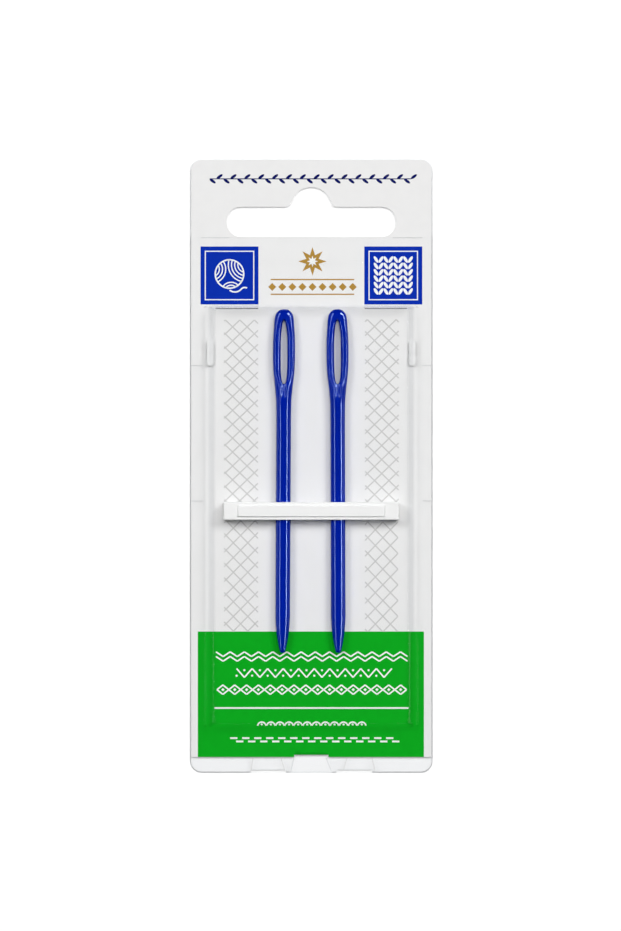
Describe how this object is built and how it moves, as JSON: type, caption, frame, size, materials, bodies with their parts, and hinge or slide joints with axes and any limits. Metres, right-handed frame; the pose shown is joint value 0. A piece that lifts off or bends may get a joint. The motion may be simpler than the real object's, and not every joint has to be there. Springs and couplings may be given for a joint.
{
  "type": "carded yarn needle pack",
  "caption": "Hang pack of blunt plastic yarn needles with long eyes, held on a card by a bar inside a clear hinged blister case.",
  "frame": {"origin": "bottom centre of the whole pack, on its rear face", "axes": "+X across the pack, +Y up the pack towards the hang slot, +Z out of the front; the pack lies on its back"},
  "size_m": [0.0494, 0.125, 0.0057],
  "materials": {
    "clear_sheet": "clear glossy formed sheet",
    "white_board": "smooth coated board, printed",
    "white_moulding": "smooth moulded plastic",
    "blue_plastic": "glossy moulded plastic"
  },
  "bodies": {
    "case": {"rear_shell": "clear_sheet", "printed_card": "white_board", "needle_clip": "white_moulding", "hinge_leaf_left": "clear_sheet", "hinge_leaf_right": "clear_sheet"},
    "cover": {"front_cover": "clear_sheet"},
    "left_needle": {"needle_left": "blue_plastic"},
    "right_needle": {"needle_right": "blue_plastic"}
  },
  "joints": [
    {"name": "cover_hinge", "type": "hinge", "parent": "case", "child": "cover", "pos_m": [0, -0.0625, 0.00055], "axis": [1, 0, 0], "range_deg": [0, 150], "deforming": ["hinge_leaf_left", "hinge_leaf_right"]},
    {"name": "left_needle_slide", "type": "slide", "parent": "case", "child": "left_needle", "axis": [-0.005, -1, 0], "range_m": [0, 0.0135]},
    {"name": "right_needle_slide", "type": "slide", "parent": "case", "child": "right_needle", "axis": [0.0029, -1, 0], "range_m": [0, 0.0135]}
  ]
}
